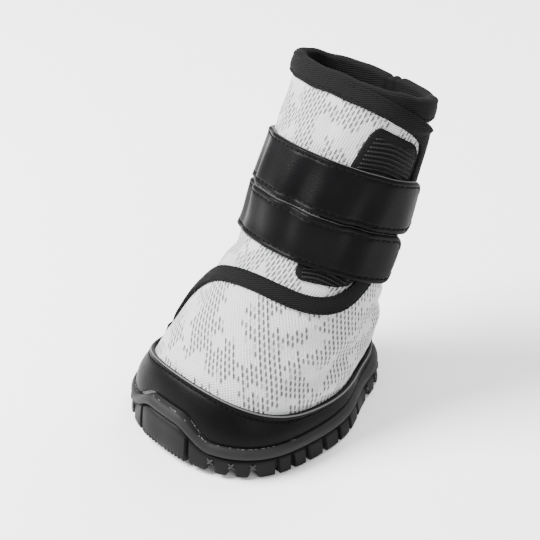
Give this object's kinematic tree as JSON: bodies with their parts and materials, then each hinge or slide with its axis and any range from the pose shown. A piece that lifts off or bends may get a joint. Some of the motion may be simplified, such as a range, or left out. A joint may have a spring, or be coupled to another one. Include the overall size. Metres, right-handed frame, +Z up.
{
  "type": "dog boot",
  "caption": "Dog boot with a knit upper on a black rubber cup sole, a toe guard, bound edges, a hook patch and two wrapped straps.",
  "frame": {"origin": "on the floor, under the middle of the boot's footprint box", "axes": "-Y towards the toe, +X towards the boot's own left, +Z up"},
  "size_m": [0.084, 0.1236, 0.1333],
  "materials": {
    "sole_rubber": "matte",
    "knit": "matte",
    "lining": "matte",
    "leather": "satin",
    "tape": "matte",
    "hook_tape": "matte"
  },
  "bodies": {
    "root": {"outsole": "sole_rubber", "upper": "knit", "insole": "lining", "toe_guard": "leather", "collar_binding": "tape", "flap_binding": "tape", "hook_patch": "hook_tape", "lower_strap": "leather", "upper_strap": "leather"}
  },
  "joints": []
}
